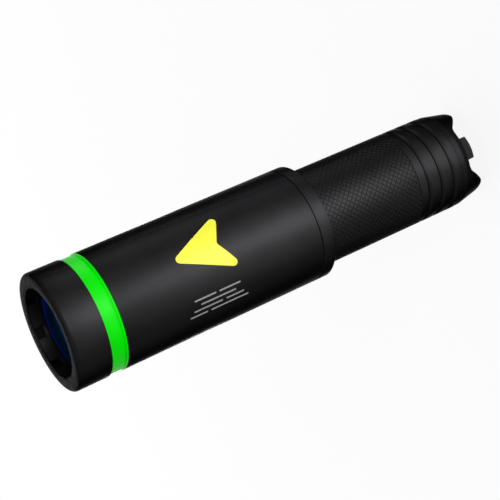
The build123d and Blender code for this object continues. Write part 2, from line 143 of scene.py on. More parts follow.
def add(tree, kind, inputs=None, **settings):
    """Adds a node. Each input is a value, or an output of another node that is linked to it."""
    made = tree.nodes.new(kind)
    for key, value in settings.items():
        setattr(made, key, value)
    for key, value in (inputs or {}).items():
        if isinstance(value, bpy.types.NodeSocket):
            tree.links.new(value, made.inputs[key])
        else:
            made.inputs[key].default_value = value
    return made


def new_material(name):
    """An empty material with its output, and the place on the object in metres."""
    made = bpy.data.materials.new(name)
    made.use_nodes = True
    made.node_tree.nodes.clear()
    place = add(made.node_tree, "ShaderNodeTexCoord").outputs["Object"]
    return made, made.node_tree, place


def finish_material(tree, shader):
    add(tree, "ShaderNodeOutputMaterial", {"Surface": shader.outputs[0]})


def per(grain_mm):
    """The texture scale at which one grain is this many millimetres across. Real turning lines, grit and the
    like are finer than a pixel of the render, so their grains are given as coarse as they need to show."""
    return 1 / (grain_mm * MM)


def shade(colour, share):
    """The colour with only this share of its brightness left, and opaque."""
    return tuple(c * share for c in colour[:3]) + (1.0,)


def black_hard_anodise(colour, name="hard_anodised_aluminium", grain_mm=0.22, bump_mm=0.006,
                       rough=(0.36, 0.42)):
    """Aluminium, turned and fine blasted, then anodised and dyed black: a dense satin black whose grazing
    edges stay dark, with a soft highlight, faint turning lines round the axis and browner patches."""
    made, tree, place = new_material(name)
    axis = add(tree, "ShaderNodeSeparateXYZ", {0: place})
    turning = add(tree, "ShaderNodeTexNoise", {"W": axis.outputs[2], "Scale": per(0.45), "Detail": 2.0},
                  noise_dimensions="1D")
    grain = add(tree, "ShaderNodeTexNoise", {"Vector": place, "Scale": per(grain_mm), "Detail": 2.0})
    patches = add(tree, "ShaderNodeTexNoise", {"Vector": place, "Scale": per(9), "Detail": 3.0})
    browner = tuple(c * share for c, share in zip(colour, (1.2, 1.17, 1.14))) + (1.0,)
    dye = add(tree, "ShaderNodeMix", {0: patches.outputs[0], 6: shade(colour, 0.82), 7: browner},
              data_type="RGBA")
    gloss = add(tree, "ShaderNodeMapRange", {0: patches.outputs[0], 3: rough[0], 4: rough[1]})
    relief = add(tree, "ShaderNodeMath", {0: grain.outputs[0], 1: 0.75, 2: turning.outputs[0]},
                 operation="MULTIPLY_ADD")
    bump = add(tree, "ShaderNodeBump", {"Height": relief.outputs[0], "Distance": bump_mm * MM,
                                        "Strength": 0.6})
    shader = add(tree, "ShaderNodeBsdfPrincipled", {
        "Base Color": dye.outputs[2], "Metallic": 1.0, "Roughness": gloss.outputs[0],
        "Specular Tint": (0.35, 0.35, 0.35, 1.0), "Normal": bump.outputs[0]})
    finish_material(tree, shader)
    return made


def green_enamel(colour):
    """Baked enamel on the aluminium ring: a saturated green with a low sheen and a slight orange peel."""
    made, tree, place = new_material("baked_green_enamel")
    peel = add(tree, "ShaderNodeTexNoise", {"Vector": place, "Scale": per(1.1), "Detail": 1.0})
    cloud = add(tree, "ShaderNodeTexNoise", {"Vector": place, "Scale": per(6), "Detail": 2.0})
    tone = add(tree, "ShaderNodeMix", {0: cloud.outputs[0], 6: shade(colour, 0.94), 7: tuple(colour)},
               data_type="RGBA")
    bump = add(tree, "ShaderNodeBump", {"Height": peel.outputs[0], "Distance": 0.008 * MM, "Strength": 0.5})
    shader = add(tree, "ShaderNodeBsdfPrincipled", {
        "Base Color": tone.outputs[2], "Roughness": 0.32, "IOR": 1.5, "Specular IOR Level": 0.05,
        "Normal": bump.outputs[0]})
    finish_material(tree, shader)
    return made


def coated_lens_glass(colour):
    """Crown glass, ground and polished, with a many-layered coating before a dark bore. It shows as a faint
    mirror whose colour is painted reflection set by place: teal in front and navy behind, and a bluer ring
    near the rim that is a painted crescent of reflection, full on the +X side and faint on the -X side, with
    the faintest dust."""
    made, tree, place = new_material("coated_crown_glass")
    along = add(tree, "ShaderNodeSeparateXYZ", {0: place})
    # teal in front and navy behind, set by place along Y: painted reflection colour
    film = add(tree, "ShaderNodeMapRange", {0: along.outputs[1], 1: -4 * MM, 2: 8 * MM})
    flat = add(tree, "ShaderNodeVectorMath", {0: place, 1: (1.0, 1.0, 0.0)}, operation="MULTIPLY")
    radius = add(tree, "ShaderNodeVectorMath", {0: flat.outputs[0]}, operation="LENGTH").outputs["Value"]
    # a bluer ring near the rim, full strength towards +X and a tenth of it towards -X: a painted crescent of
    # reflection
    inner = add(tree, "ShaderNodeMapRange", {0: radius, 1: 7.4 * MM, 2: 8.6 * MM})
    outer = add(tree, "ShaderNodeMapRange", {0: radius, 1: 8.7 * MM, 2: 10.0 * MM, 3: 1.0, 4: 0.0})
    ring = add(tree, "ShaderNodeMath", {0: inner.outputs[0], 1: outer.outputs[0]}, operation="MULTIPLY")
    painted_crescent_side = add(tree, "ShaderNodeMapRange", {0: along.outputs[0], 1: -8 * MM, 2: -1 * MM, 3: 0.1, 4: 1.0})
    ring = add(tree, "ShaderNodeMath", {0: ring.outputs[0], 1: painted_crescent_side.outputs[0]}, operation="MULTIPLY")
    middle = add(tree, "ShaderNodeMix", {0: film.outputs[0], 6: linear("#01232a"), 7: linear("#031636")},
                 data_type="RGBA")
    mirror = add(tree, "ShaderNodeMix", {0: ring.outputs[0], 6: middle.outputs[2], 7: tuple(colour)},
                 data_type="RGBA")
    dust = add(tree, "ShaderNodeTexNoise", {"Vector": place, "Scale": per(0.8), "Detail": 4.0})
    haze = add(tree, "ShaderNodeMapRange", {0: dust.outputs[0], 1: 0.45, 2: 0.8, 3: 0.015, 4: 0.07})
    shader = add(tree, "ShaderNodeBsdfPrincipled", {
        "Base Color": mirror.outputs[2], "Metallic": 0.55, "Specular Tint": (0.35, 0.375, 0.395, 1.0),
        "Specular IOR Level": 0.0, "Roughness": haze.outputs[0]})
    finish_material(tree, shader)
    return made


def printed_ink(name, colour):
    """Pad-printed ink, a few hundredths of a millimetre thick: flat and even, with a soft egg-shell sheen."""
    made, tree, place = new_material(name)
    speck = add(tree, "ShaderNodeTexNoise", {"Vector": place, "Scale": per(0.3), "Detail": 2.0})
    tone = add(tree, "ShaderNodeMix", {0: speck.outputs[0], 6: shade(colour, 0.93), 7: tuple(colour)},
               data_type="RGBA")
    bump = add(tree, "ShaderNodeBump", {"Height": speck.outputs[0], "Distance": 0.004 * MM, "Strength": 0.5})
    shader = add(tree, "ShaderNodeBsdfPrincipled", {
        "Base Color": tone.outputs[2], "Roughness": 0.5, "IOR": 1.5, "Specular IOR Level": 0.25,
        "Normal": bump.outputs[0]})
    finish_material(tree, shader)
    return made


# name: (what it is, dark tone, light tone, metallic, roughness low, roughness high, grain in mm, bump in mm,
# IOR, specular level)
PLAIN_FINISHES = {
    "moulded_button_polymer": (
        "glass-filled nylon, spark-eroded mould: even matte black with a fine pitted grain",
        "#0f0f0f", "#171717", 0.0, 0.55, 0.65, 0.3, 0.012, 1.45, 0.3),
    "nitrile_rubber": (
        "nitrile rubber, moulded and lightly greased: soft black with a dull sheen",
        "#0f0f0f", "#1c1c1b", 0.0, 0.5, 0.7, 0.5, 0.01, 1.52, 0.15),
    "turned_aluminium": (
        "bare aluminium, turned: bright silver with fine tool lines",
        "#b4b5b8", "#d4d5d8", 1.0, 0.26, 0.4, 0.25, 0.006, 1.5, 0.5),
    "turned_brass": (
        "free-cutting brass, turned: warm yellow with fine tool lines",
        "#b08c48", "#d0ac62", 1.0, 0.25, 0.38, 0.25, 0.005, 1.5, 0.5),
    "spring_steel": (
        "music wire, drawn and nickel plated: pale grey, smooth along the wire",
        "#9c9c9c", "#c4c4c2", 1.0, 0.22, 0.34, 0.2, 0.003, 1.5, 0.5),
    "gold_plated_kovar": (
        "iron-nickel alloy, gold plated: deep warm gold, almost polished",
        "#c99b45", "#ecc675", 1.0, 0.16, 0.28, 0.3, 0.002, 1.5, 0.5),
    "glass_epoxy_board": (
        "woven glass in epoxy under green solder mask: the weave shows as a faint grid",
        "#0d3d1d", "#16602c", 0.0, 0.3, 0.42, 0.6, 0.01, 1.55, 0.4),
    "moulded_epoxy": (
        "silica-filled epoxy, transfer moulded: matte charcoal with a salt-like grain",
        "#1e1f21", "#303134", 0.0, 0.48, 0.62, 0.12, 0.006, 1.55, 0.3),
    "fired_ceramic": (
        "barium titanate ceramic, fired: matte tan, slightly mottled",
        "#8a6a48", "#a88661", 0.0, 0.5, 0.62, 0.2, 0.004, 1.6, 0.4),
    "moulded_nylon": (
        "nylon, moulded: dark grey, softly pitted",
        "#1d1d1f", "#2e2e31", 0.0, 0.42, 0.55, 0.3, 0.008, 1.53, 0.3),
    "heat_shrunk_sleeve": (
        "heat-shrunk polyester film over the cell's steel can: glossy blue with shrink ripples",
        "#23436f", "#34609c", 0.0, 0.18, 0.3, 1.6, 0.02, 1.57, 0.4),
}
PATCH_GRAINS = 14            # how many grains across the broad patches of a plain finish are


def plain_finish(name):
    """One of the finishes in the table: two tones, a varying roughness and a grain at its real size."""
    words, dark, light, metallic, rough_low, rough_high, grain_mm, bump_mm, ior, specular = (
        PLAIN_FINISHES[name])
    made, tree, place = new_material(name)
    made["made_of"] = words
    grain = add(tree, "ShaderNodeTexNoise", {"Vector": place, "Scale": per(grain_mm), "Detail": 3.0})
    broad = add(tree, "ShaderNodeTexNoise", {
        "Vector": place, "Scale": per(PATCH_GRAINS * grain_mm), "Detail": 2.0})
    tone = add(tree, "ShaderNodeMix", {0: broad.outputs[0], 6: linear(dark), 7: linear(light)},
               data_type="RGBA")
    gloss = add(tree, "ShaderNodeMapRange", {0: broad.outputs[0], 3: rough_low, 4: rough_high})
    bump = add(tree, "ShaderNodeBump", {"Height": grain.outputs[0], "Distance": bump_mm * MM,
                                        "Strength": 0.7})
    shader = add(tree, "ShaderNodeBsdfPrincipled", {
        "Base Color": tone.outputs[2], "Metallic": metallic, "Roughness": gloss.outputs[0], "IOR": ior,
        "Specular IOR Level": specular, "Normal": bump.outputs[0]})
    finish_material(tree, shader)
    return made


# which finish each carried-over solid inside gets
INSIDE_FINISHES = {
    "nitrile_rubber": ["bezel_seal", "lens_seal", "collar_seal", "tube_seal", "tail_seal", "button_seal"],
    "turned_aluminium": ["guide_sleeve", "heat_sink", "switch_spacer"],
    "turned_brass": ["diode_clamp", "driver_cup", "front_contact", "switch_retainer"],
    "spring_steel": ["guide_pin", "tail_spring"],
    "gold_plated_kovar": ["laser_diode"],
    "glass_epoxy_board": ["driver_board", "switch_board"],
    "moulded_epoxy": ["driver_coil", "driver_chip"],
    "fired_ceramic": ["driver_capacitors"],
    "moulded_nylon": ["switch_body", "switch_plunger"],
    "heat_shrunk_sleeve": ["cell_front", "cell_rear"],
}


def dress(node, material):
    """Gives a carried-over solid its finish."""
    slots = frame["nodes"][node].data.materials
    slots.clear()
    slots.append(material)


def finished(name):
    """A material that an earlier operator made."""
    made = bpy.data.materials.get(name)
    if made is None:
        raise RuntimeError("the materials operator has to run first: " + name)
    return made


# Making pieces


def body_of(node):
    return frame["nodes"][node]["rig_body"]


def node_top(node):
    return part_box(node)[1].z


def node_bottom(node):
    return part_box(node)[0].z


def node_radius(node):
    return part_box(node)[1].x


def make_piece(name, mesh_data, node, material, replaces=True):
    """Turns a bmesh into a piece that rides with a solid's body, and stands for it where it replaces it."""
    bmesh.ops.recalc_face_normals(mesh_data, faces=mesh_data.faces)
    mesh = bpy.data.meshes.new(name)
    mesh_data.to_mesh(mesh)
    mesh_data.free()
    mesh.shade_smooth()
    mesh.set_sharp_from_angle(angle=SHARP_ANGLE)
    mesh.materials.append(material)
    piece = bpy.data.objects.new(name, mesh)
    bpy.context.scene.collection.objects.link(piece)
    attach(piece, body_of(node))
    if replaces:
        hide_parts(node)
    return piece


def soften(outline, arc_steps=4):
    """The (radius, height, rounding) outline with an arc put in at each corner that has a rounding."""
    made = []
    count = len(outline)
    for i, (r, z, size) in enumerate(outline):
        here = Vector((r, z))
        if size <= 0:
            made.append(here)
            continue
        back = Vector(outline[i - 1][:2]) - here
        ahead = Vector(outline[(i + 1) % count][:2]) - here
        half = back.angle(ahead) / 2
        reach = min(size / tan(half), back.length * ARC_SHARE, ahead.length * ARC_SHARE)
        radius = reach * tan(half)
        start, end = here + back.normalized() * reach, here + ahead.normalized() * reach
        centre = here + (back.normalized() + ahead.normalized()).normalized() * (radius / sin(half))
        first, last = start - centre, end - centre
        turn = atan2(first.x * last.y - first.y * last.x, first.dot(last))
        for k in range(arc_steps + 1):
            a = turn * k / arc_steps
            swung = Vector((first.x * cos(a) - first.y * sin(a), first.x * sin(a) + first.y * cos(a)))
            made.append(centre + swung)
    return made


def around(column, steps):
    """A closed ring whose outline may change on the way round. The column function gives the softened
    outline, always with the same number of points, for an angle from +X."""
    made = bmesh.new()
    rings = []
    for i in range(steps):
        a = 2 * pi * i / steps
        rings.append([made.verts.new((p.x * cos(a), p.x * sin(a), p.y)) for p in column(a)])
    count = len(rings[0])
    for i in range(steps):
        near, far = rings[i], rings[(i + 1) % steps]
        for k in range(count):
            following = (k + 1) % count
            made.faces.new((near[k], far[k], far[following], near[following]))
    return made


def lathe(outline, steps=ROUND_STEPS):
    """A closed ring turned about the axis from its rounded outline."""
    points = soften(outline)
    return around(lambda angle: points, steps)


def edged_copy(node, edge, steps=2, reshape=None):
    """A solid's own shape with its sharp edges broken by a small rounding. Reshape may first set a corner
    over, given the vertices."""
    made = bmesh.new()
    made.from_mesh(frame["nodes"][node].data)
    bmesh.ops.remove_doubles(made, verts=made.verts, dist=0.002 * MM)
    if reshape:
        reshape(made.verts)
    bmesh.ops.dissolve_limit(made, angle_limit=radians(0.25), verts=made.verts, edges=made.edges)
    sharp = [e for e in made.edges if e.is_manifold and e.calc_face_angle() > SHARP_ANGLE]
    bmesh.ops.bevel(made, geom=sharp, offset=edge, offset_type="OFFSET", segments=steps, profile=0.5,
                    affect="EDGES", clamp_overlap=True, harden_normals=False)
    return made


# Operators


class ILLUM_OT_finishes(bpy.types.Operator):
    """Make the materials, and finish the solids inside"""

    bl_idname = "illum.finishes"
    bl_label = "Finishes"

    def execute(self, context):
        colours = context.scene.illuminator_colours
        black_hard_anodise(colours.anodise)
        black_hard_anodise(colours.anodise, "blasted_anodised_aluminium", 0.3, 0.012, (0.42, 0.5))
        # a copy of the black anodise at 0.4 of its brightness: painted shade for the parts that sit deep in
        # the mouth
        black_hard_anodise(shade(colours.anodise, 0.4), "painted_shade_anodised_aluminium", 0.3, 0.012,
                           (0.5, 0.6))
        green_enamel(colours.band)
        glass = coated_lens_glass(colours.coating)
        printed_ink("yellow_print_ink", colours.arrow)
        printed_ink("pale_print_ink", colours.dashes)
        for name, nodes in INSIDE_FINISHES.items():
            material = plain_finish(name)
            for node in nodes:
                dress(node, material)
        plain_finish("moulded_button_polymer")
        dress("objective_lens", glass)
        dress("diode_window", glass)
        return {"FINISHED"}


class ILLUM_OT_head(bpy.types.Operator):
    """Turn the bezel, the coloured band, the barrel and the collar"""

    bl_idname = "illum.head"
    bl_label = "Head"

    WALL = 2 * MM                # of the barrel
    COLLAR_WALL = 3.4 * MM       # from the head's radius in to the collar's bore
    RING_WALL = 0.8 * MM         # of the notched ring, whose bore is the mouth
    RING_RUN = 0.06 * MM         # clearance round the notched ring
    LIP = 0.4 * MM               # the bezel's lip in front of the notched ring
    SPIGOT_IN = 1.3 * MM         # from the head's radius in to the bezel's spigot
    SPIGOT_RUN = 0.05 * MM       # clearance round the spigot
    SPIGOT_GAP = 0.1 * MM        # from the spigot's end to the ledge behind it
    LEDGE_T, LEDGE_W = 0.5 * MM, 1.0 * MM
    BAND_IN = 0.27 * MM          # how far the band's floor lies below the head
    BAND_BODY = 1.0 * MM         # thickness of the band under its floor
    BAND_SKIM = 0.01 * MM        # keeps the band's rear edge just below the barrel
    SLOPE = 0.96 * MM            # length of the band's rear slope
    # the fine groove in that slope, in millimetres: in from the head's radius, up from the band's rear end
    GROOVE = ((0.16, 0.5), (0.4, 0.55), (0.4, 0.62), (0.2, 0.68))
    SLIT_W, SLIT_DEPTH = 0.1 * MM, 0.45 * MM     # the parting slit in front of the collar

    def execute(self, context):
        sizes = context.scene.illuminator_sizes
        edge = sizes.edge_break
        anodise = finished("hard_anodised_aluminium")
        head_r, ring_r = node_radius("head_barrel"), node_radius("focus_ring")
        mouth_r, bore_r = ring_r - self.RING_WALL, ring_r + self.RING_RUN
        face, spigot_end = node_top("bezel"), node_bottom("bezel")
        band_low, band_top = node_bottom("colour_band"), node_top("colour_band")
        spigot_r = head_r - self.SPIGOT_IN
        lip = face - self.LIP
        make_piece("bezel_ring", lathe([
            (bore_r, spigot_end, 0), (spigot_r, spigot_end, edge), (spigot_r, band_top, 0),
            (head_r, band_top, edge), (head_r, face, sizes.bezel_round), (mouth_r, face, edge),
            (mouth_r, lip, 0), (bore_r, lip, 0)]), "bezel", anodise)
        floor_r = head_r - self.BAND_IN
        under_r = floor_r - self.BAND_BODY
        groove = [(head_r - inward * MM, band_low + up * MM, 0) for inward, up in self.GROOVE]
        make_piece("enamelled_band", lathe([
            (under_r, band_low, 0), (head_r - self.BAND_SKIM, band_low, 0.03 * MM), *groove,
            (floor_r, band_low + self.SLOPE, 0.1 * MM), (floor_r, band_top, 0), (under_r, band_top, 0)]),
            "colour_band", finished("baked_green_enamel"))
        barrel_low = node_bottom("head_barrel")
        inner_r = head_r - self.WALL
        socket_r = spigot_r + self.SPIGOT_RUN
        ledge_r, ledge_top = inner_r - self.LEDGE_W, spigot_end - self.SPIGOT_GAP
        make_piece("barrel_tube", lathe([
            (inner_r, barrel_low, 0), (head_r, barrel_low, 1.3 * edge), (head_r, band_low, edge / 2),
            (socket_r, band_low, 0), (socket_r, ledge_top, 0), (ledge_r, ledge_top, 0),
            (ledge_r, ledge_top - self.LEDGE_T, 0), (inner_r, ledge_top - self.LEDGE_T, 0)]),
            "head_barrel", anodise)
        collar_low, collar_top = node_bottom("rear_collar"), node_top("rear_collar")
        collar_bore_r = head_r - self.COLLAR_WALL
        slit_low, slit_r = barrel_low - self.SLIT_W, head_r - self.SLIT_DEPTH
        make_piece("collar_ring", lathe([
            (collar_bore_r, collar_low, edge), (head_r, collar_low, 1.5 * edge),
            (head_r, slit_low, 1.1 * edge), (slit_r, slit_low, 0), (slit_r, barrel_low, 0),
            (inner_r, barrel_low, 0), (inner_r, collar_top, edge), (collar_bore_r, collar_top, 0)]),
            "rear_collar", anodise)
        return {"FINISHED"}


class ILLUM_OT_mouth(bpy.types.Operator):
    """Finish the notched ring and the lens in its cell, inside the mouth"""

    bl_idname = "illum.mouth"
    bl_label = "Mouth"

    SEAT_DEPTH = 1.3 * MM        # from the cell's front down to the seat under its lip
    LIP_R, LIP_T = 10.66 * MM, 0.8 * MM      # the cell's thin lip round the glass
    LIP_EDGE_R = 10.0 * MM       # near its front, the cell has only its lip's edge inside this radius
    NEAR = 0.05 * MM             # how close to the seat's height a corner has to lie to count as on it
    GLASS_R = 10.6 * MM          # of the glass that shows
    GLASS_DROP = 0.1 * MM        # from the cell's front down to the glass's rim
    GLASS_EDGE = 0.5 * MM        # height of the rim's upright side
    GROUND_FLAT = 0.35 * MM      # width of the rim's flat, outside the dome
    DOME_R, DOME_RISE, DOME_STEPS = 110 * MM, 0.05 * MM, 16
    SEAT_IN, SEAT_RUN, SEAT_SLOPE = 0.8 * MM, 0.06 * MM, 0.4 * MM    # the seat left for the lens seal
    GLASS_RUN = 0.02 * MM        # clearance round the glass in its cell
    RING_EDGE, CLAMP_EDGE, HOLDER_EDGE = 0.07 * MM, 0.06 * MM, 0.05 * MM     # roundings of broken edges

    def execute(self, context):
        blasted = finished("blasted_anodised_aluminium")
        # the lens clamp ring and the lens holder get the darkened copy of the anodise, as painted shade deep
        # in the mouth
        shade_painted_anodise = finished("painted_shade_anodised_aluminium")
        make_piece("notched_ring", edged_copy("focus_ring", self.RING_EDGE), "focus_ring", blasted)
        make_piece("lens_clamp_ring", edged_copy("lens_retainer", self.CLAMP_EDGE), "lens_retainer", shade_painted_anodise)
        make_piece("lens_holder", edged_copy("lens_cell", self.HOLDER_EDGE, reshape=self.thin_lip),
                   "lens_cell", shade_painted_anodise)
        make_piece("domed_lens", self.lens(), "objective_lens", finished("coated_crown_glass"))
        return {"FINISHED"}

    def thin_lip(self, verts):
        """Widens the cell's opening to a thin lip, so that the glass shows right up to it."""
        top = node_top("lens_cell")
        seat = top - self.SEAT_DEPTH
        for vert in verts:
            radius = Vector((vert.co.x, vert.co.y)).length
            if vert.co.z > seat - self.NEAR and radius < self.LIP_EDGE_R:
                vert.co.x *= self.LIP_R / radius
                vert.co.y *= self.LIP_R / radius
            if abs(vert.co.z - seat) < self.NEAR:
                vert.co.z = top - self.LIP_T

    def lens(self):
        """The lens: a ground edge, a seat for its seal, a rim flush with the lip and a polished dome."""
        back, rim = node_bottom("objective_lens"), node_top("lens_cell") - self.GLASS_DROP
        edge_r = node_radius("objective_lens") - self.GLASS_RUN
        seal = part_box("lens_seal")
        seal_low, seal_high = seal[0].z - self.SEAT_RUN, seal[1].z + self.SEAT_RUN
        seal_r = seal[1].x - self.SEAT_IN
        outline = [
            (0, back, 0), (edge_r, back, 0.15 * MM), (edge_r, seal_low, 0.05 * MM), (seal_r, seal_low, 0),
            (seal_r, seal_high, 0), (edge_r, seal_high + self.SEAT_SLOPE, 0),
            (self.GLASS_R, rim - self.GLASS_EDGE, 0.1 * MM), (self.GLASS_R, rim, 0.08 * MM)]
        inner = self.GLASS_R - self.GROUND_FLAT
        centre = rim + self.DOME_RISE - (self.DOME_R ** 2 - inner ** 2) ** 0.5
        for k in range(self.DOME_STEPS + 1):
            r = inner * (1 - k / self.DOME_STEPS)
            outline.append((r, centre + (self.DOME_R ** 2 - r * r) ** 0.5, 0))
        glass = lathe(outline)
        bmesh.ops.remove_doubles(glass, verts=glass.verts, dist=MERGE)
        return glass


class ILLUM_OT_grip(bpy.types.Operator):
    """Cut the knurled grip and the screw thread on its neck"""

    bl_idname = "illum.grip"
    bl_label = "Grip"

    GRIP_R = 12.7 * MM
    SEAM = 0.08 * MM             # left between the grip and the tail cap
    SLEEVE_IN = 0.5 * MM         # from the grip's radius in to the core under the knurl
    CELL_BORE = 8.75 * MM
    NECK_R = 11.6 * MM           # the threaded neck in the tail cap
    FRONT_R = 11.56 * MM         # the neck in the rear collar
    SEAL_HALF, SEAL_IN = 0.45 * MM, 0.68 * MM    # the tail seal's groove: half its width, its depth
    SUNK = 0.05 * MM             # how far the thread's foot lies in the core
    THREAD_START = 0.3 * MM      # from the neck's end to the thread
    # a knurl groove's section: its bottom is nearly flat for this share of its width either way, is this much
    # of the full depth there, and its side ends this share of the spacing past half its width
    GROOVE_FLAT, GROOVE_FILL, GROOVE_SLOPE = 0.3, 0.92, 0.04
    SPARE = 1.6                  # spacings of knurl made past each end of the grip and then cut off
    RIDGE_FOOT, RIDGE_CREST = 0.42, 0.1          # half widths of the thread's ridge, in shares of its pitch
    RIDGE_INSET = 0.4            # from the thread's ends in to the ridge's middle, in the same shares
    FADE = 0.2                   # share of a turn over which the ridge's ends taper
    THINNEST = 0.02              # share of the ridge's height that is left at its very ends

    def execute(self, context):
        sizes = context.scene.illuminator_sizes
        anodise = finished("hard_anodised_aluminium")
        low, high = node_top("tail_cap") + self.SEAM, node_bottom("rear_collar")
        root_r = self.GRIP_R - self.SLEEVE_IN
        make_piece("knurled_grip", self.knurl(sizes, self.GRIP_R, root_r, low, high), "battery_tube", anodise,
                   replaces=False)
        tube_low, tube_high = node_bottom("battery_tube"), node_top("battery_tube")
        thread_r = self.NECK_R - sizes.thread_depth
        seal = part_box("tail_seal")
        seal_z = (seal[0].z + seal[1].z) / 2
        seal_low, seal_high = seal_z - self.SEAL_HALF, seal_z + self.SEAL_HALF
        floor_r = seal[1].x - self.SEAL_IN
        thread_end = seal_low - self.SEAL_HALF
        core = lathe([
            (self.CELL_BORE, tube_low, 0.1 * MM), (thread_r, tube_low, 0.15 * MM), (thread_r, thread_end, 0),
            (self.NECK_R, thread_end, 0.05 * MM), (self.NECK_R, seal_low, 0.05 * MM), (floor_r, seal_low, 0),
            (floor_r, seal_high, 0), (self.NECK_R, seal_high, 0.05 * MM), (self.NECK_R, low, 0),
            (root_r, low, 0), (root_r, high, 0), (self.FRONT_R, high, 0), (self.FRONT_R, tube_high, 0.1 * MM),
            (self.CELL_BORE, tube_high, 0)])
        make_piece("battery_tube_core", core, "battery_tube", anodise)
        thread = self.thread(thread_r - self.SUNK, self.NECK_R, sizes.thread_pitch,
                             tube_low + self.THREAD_START, thread_end)
        make_piece("neck_thread", thread, "battery_tube", anodise, replaces=False)
        return {"FINISHED"}

    def knurl(self, sizes, outer, root, low, high):
        """Flat diamonds between two families of crossing helical grooves, cut as real relief."""
        starts = sizes.knurl_starts
        pitch = 2 * pi * outer / starts
        groove, depth = sizes.knurl_groove, sizes.knurl_depth
        flat, slope = groove * self.GROOVE_FLAT, groove / 2 + self.GROOVE_SLOPE
        # along one spacing from a groove's middle: share of the spacing, share of the groove's depth
        stops = [(0.0, 1.0), (flat, self.GROOVE_FILL), (slope, 0.0), (0.5, 0.0), (1 - slope, 0.0),
                 (1 - flat, self.GROOVE_FILL)]
        rows = int((high - low) / pitch) + 4
        each = len(stops)
        wrap = starts * each
        made = bmesh.new()
        grid = {}
        # u and v count the two families of grooves, and half their sum and difference give place and height
        for i in range(wrap):
            for j in range(-wrap, rows * each * 2 + wrap):
                u = i // each + stops[i % each][0]
                v = j // each + stops[j % each][0]
                z = (v - u) * pitch / 2 + low - pitch
                if not low - pitch * self.SPARE < z < high + pitch * self.SPARE:
                    continue
                cut = max(stops[i % each][1], stops[j % each][1]) * depth
                a = (u + v) / 2 * pitch / outer
                grid[i, j] = made.verts.new(((outer - cut) * cos(a), (outer - cut) * sin(a), z))
        for (i, j), vert in list(grid.items()):
            near = grid.get((i, j + 1))
            if i + 1 < wrap:
                side, far = grid.get((i + 1, j)), grid.get((i + 1, j + 1))
            else:
                side, far = grid.get((0, j - wrap)), grid.get((0, j + 1 - wrap))
            if near and side and far:
                made.faces.new((vert, side, far, near))
        bmesh.ops.remove_doubles(made, verts=made.verts, dist=MERGE)
        for height, side in ((low, -1), (high, 1)):
            every = made.verts[:] + made.edges[:] + made.faces[:]
            bmesh.ops.bisect_plane(made, geom=every, dist=1e-9, plane_co=(0, 0, height),
                                   plane_no=(0, 0, side), clear_outer=True)
        loops = []
        for height in (low, high):
            rim = [e for e in made.edges if e.is_boundary and abs(e.verts[0].co.z - height) < 1e-7
                   and abs(e.verts[1].co.z - height) < 1e-7]
            grown = bmesh.ops.extrude_edge_only(made, edges=rim)["geom"]
            for vert in (g for g in grown if isinstance(g, bmesh.types.BMVert)):
                foot = Vector((vert.co.x, vert.co.y, 0)).normalized() * root
                vert.co = Vector((foot.x, foot.y, height))
            loops += [g for g in grown if isinstance(g, bmesh.types.BMEdge) and g.is_boundary]
        bmesh.ops.bridge_loops(made, edges=loops)
        return made

    def thread(self, root, crest, pitch, low, high, steps=96):
        """A right-handed screw ridge with tapered ends, on a core that it is sunk in."""
        turns = (high - low) / pitch - 2 * self.RIDGE_INSET
        count = int(turns * steps)
        made = bmesh.new()
        rings = []
        for i in range(count + 1):
            a = 2 * pi * i / steps
            z = low + pitch * self.RIDGE_INSET + pitch * i / steps
            fade = min(1.0, i / (steps * self.FADE), (count - i) / (steps * self.FADE))
            top = root + (crest - root) * max(fade, self.THINNEST)
            shape = ((root, -self.RIDGE_FOOT), (top, -self.RIDGE_CREST), (top, self.RIDGE_CREST),
                     (root, self.RIDGE_FOOT))
            rings.append([made.verts.new((r * cos(a), r * sin(a), z + share * pitch)) for r, share in shape])
        for near, far in zip(rings, rings[1:]):
            for k in range(4):
                made.faces.new((near[k], near[(k + 1) % 4], far[(k + 1) % 4], far[k]))
        made.faces.new(rings[0][::-1])
        made.faces.new(rings[-1])
        return made


